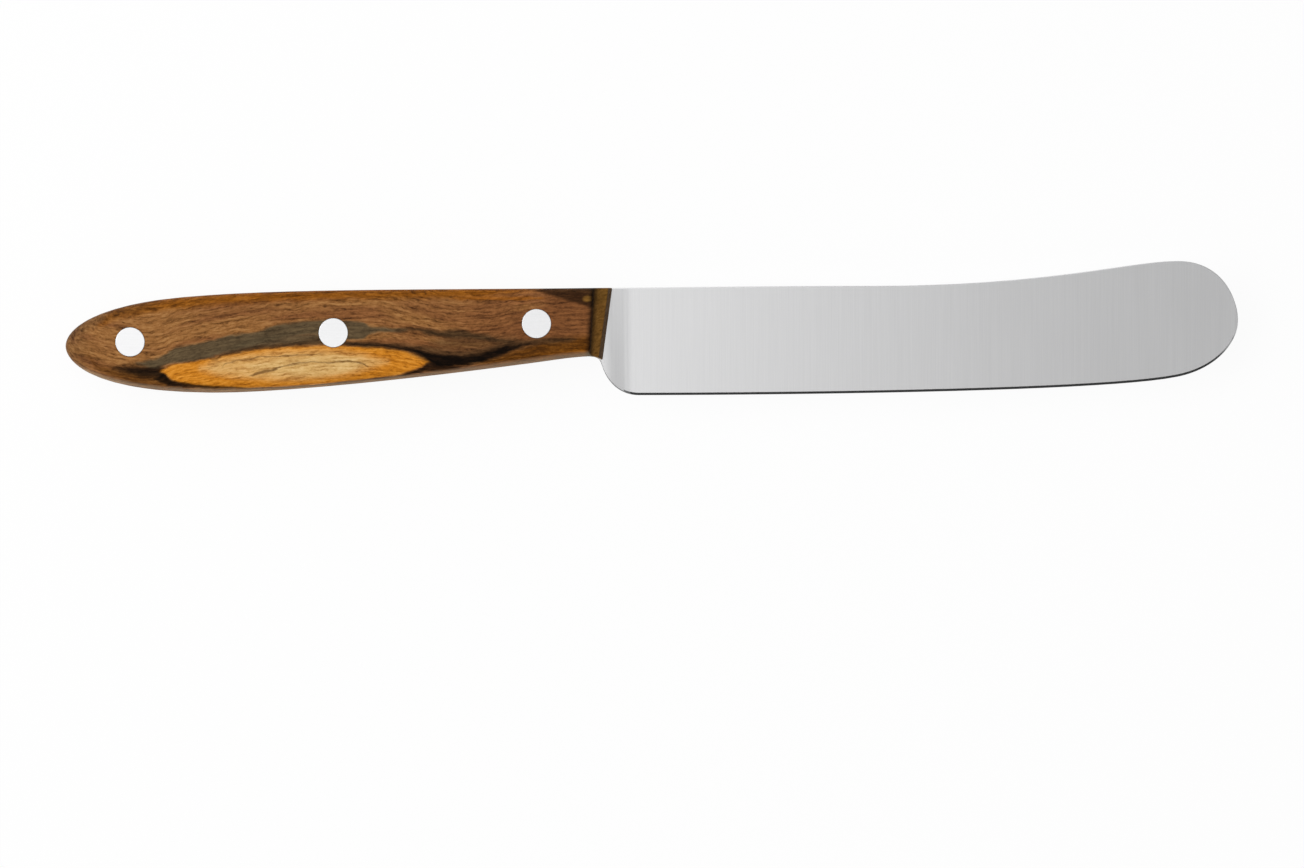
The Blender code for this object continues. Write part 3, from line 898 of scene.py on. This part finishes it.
bpy.ops.object.select_all(action="DESELECT")
bpy.ops.mesh.primitive_plane_add(size=FLOOR_SIZE, location=(0.0, 0.0, FLOOR_LEVEL))
floor = bpy.context.object
floor.name = "white_floor"
material, tree, shader = new_finish("white_floor")
shader.inputs["Base Color"].default_value = FLOOR_PAINT
shader.inputs["Roughness"].default_value = FLOOR_ROUGHNESS
ray = add_node(tree, "ShaderNodeLightPath")
seen = calc(tree, "MAXIMUM", ray.outputs["Is Camera Ray"], ray.outputs["Is Glossy Ray"])
seen = calc(tree, "MAXIMUM", seen, ray.outputs["Is Transmission Ray"])
glow = add_node(tree, "ShaderNodeEmission", {"Color": WHITE, "Strength": 1.0})
share = calc(tree, "MULTIPLY", seen, FLOOR_GLOW)
mixed = add_node(tree, "ShaderNodeMixShader", {0: share, 1: shader.outputs[0], 2: glow.outputs[0]})
clear = add_node(tree, "ShaderNodeBsdfTransparent")
behind = add_node(tree, "ShaderNodeNewGeometry").outputs["Backfacing"]
both = add_node(tree, "ShaderNodeMixShader", {0: behind, 1: mixed.outputs[0], 2: clear.outputs[0]})
tree.links.new(both.outputs[0], tree.nodes["Material Output"].inputs["Surface"])
floor.data.materials.append(material)
print("floor:", FLOOR_SIZE, "m")

# %% [markdown]
# ## The light
#
# A studio tent: white walls all round, a softer ceiling, and a dark opening high in its front, which the
# honed bevel shows as a dark line. The tent is the world, shaded by direction. A wide soft panel hangs
# over the handle and ends above the blade, so the blade's sheen falls off towards the tip.

# %% World
WALL_LEVELS = (1.0, 0.5)
WALL_FADE = (-0.6, 0.6)
CEILING_LEVEL = 0.51
CEILING_FROM = (0.60, 0.92)
OPENING_SHADE = 0.93
OPENING_SIDE = (-0.25, -0.42)
OPENING_FROM = (0.62, 0.78)

world = bpy.data.worlds.new("studio_tent")
bpy.context.scene.world = world
world.use_nodes = True
tree = world.node_tree
place = add_node(tree, "ShaderNodeTexCoord")
split = add_node(tree, "ShaderNodeSeparateXYZ", {"Vector": place.outputs["Generated"]})
walls = remap(tree, split.outputs[0], *WALL_FADE, *WALL_LEVELS)
high = remap(tree, split.outputs[2], *CEILING_FROM)
levels = {0: high, 2: walls, 3: CEILING_LEVEL}
tent = add_node(tree, "ShaderNodeMix", levels, data_type="FLOAT").outputs[0]
front_side = remap(tree, split.outputs[1], *OPENING_SIDE)
raised = remap(tree, split.outputs[2], *OPENING_FROM)
opening = calc(tree, "MULTIPLY", front_side, raised)
tent = calc(tree, "MULTIPLY", tent, calc(tree, "MULTIPLY_ADD", opening, -OPENING_SHADE, 1.0))
camera_ray = add_node(tree, "ShaderNodeLightPath").outputs["Is Camera Ray"]
level = add_node(tree, "ShaderNodeMix", {0: camera_ray, 2: tent, 3: 1.0}, data_type="FLOAT")
background = tree.nodes["Background"]
background.inputs["Color"].default_value = WHITE
tree.links.new(level.outputs[0], background.inputs["Strength"])
print("world nodes:", len(tree.nodes))


# %% Panel and side lamp
def add_lamp(name, size, radiance, location, rotation=(0.0, 0.0, 0.0)):
    """A rectangular lamp of a size and radiance that the camera doesn't see."""
    bpy.ops.object.light_add(type="AREA", location=location, rotation=rotation)
    lamp = bpy.context.object
    lamp.name = name
    lamp.data.shape = "RECTANGLE"
    lamp.data.size, lamp.data.size_y = size
    lamp.data.energy = radiance * math.pi * size[0] * size[1]
    lamp.visible_camera = False
    print(name, "watts:", round(lamp.data.energy, 2))


PANEL_SIZE = (1.2, 0.9)
PANEL_EDGE_X = 0.03
PANEL_FRONT_Y = -0.20
PANEL_HEIGHT = 0.55
PANEL_RADIANCE = 0.66
SIDE_SIZE = (0.8, 0.8)
SIDE_PLACE = (-0.95, 0.20, 0.70)
SIDE_TURN = (0.0, math.radians(-54), 0.0)
SIDE_RADIANCE = 2.5

panel_place = (PANEL_EDGE_X - PANEL_SIZE[0] / 2, PANEL_FRONT_Y + PANEL_SIZE[1] / 2, PANEL_HEIGHT)
add_lamp("soft_panel", PANEL_SIZE, PANEL_RADIANCE, panel_place)
add_lamp("side_lamp", SIDE_SIZE, SIDE_RADIANCE, SIDE_PLACE, SIDE_TURN)

# %% [markdown]
# ## The camera
#
# The photograph looks straight down on the knife from far away. A long lens keeps the view nearly parallel,
# so the handle's raised face and the thin blade lie in the picture as they do there. The knife fills nine
# tenths of the picture's width and lies a little above its middle.

# %% Camera
LENS_MM = 800.0
SENSOR_MM = 36.0
KNIFE_SHARE = 0.89896
MIDDLE_SHARE = 0.1221
PICTURE_SIDES = 868 / 1304

picture_width = (cad_box[1][0] - cad_box[0][0]) / KNIFE_SHARE
middle_y = -MIDDLE_SHARE * picture_width * PICTURE_SIDES
middle_z = (cad_box[0][2] + cad_box[1][2]) / 2
distance = picture_width * LENS_MM / SENSOR_MM
bpy.ops.object.camera_add(location=(0.0, middle_y, middle_z + distance), rotation=(0.0, 0.0, 0.0))
camera = bpy.context.object
camera.name = "overhead_camera"
camera.data.lens = LENS_MM
camera.data.sensor_width = SENSOR_MM
camera.data.sensor_fit = "HORIZONTAL"
bpy.context.scene.camera = camera
bpy.context.scene.view_settings.view_transform = "Standard"
print("camera height in m:", round(camera.location.z, 3))
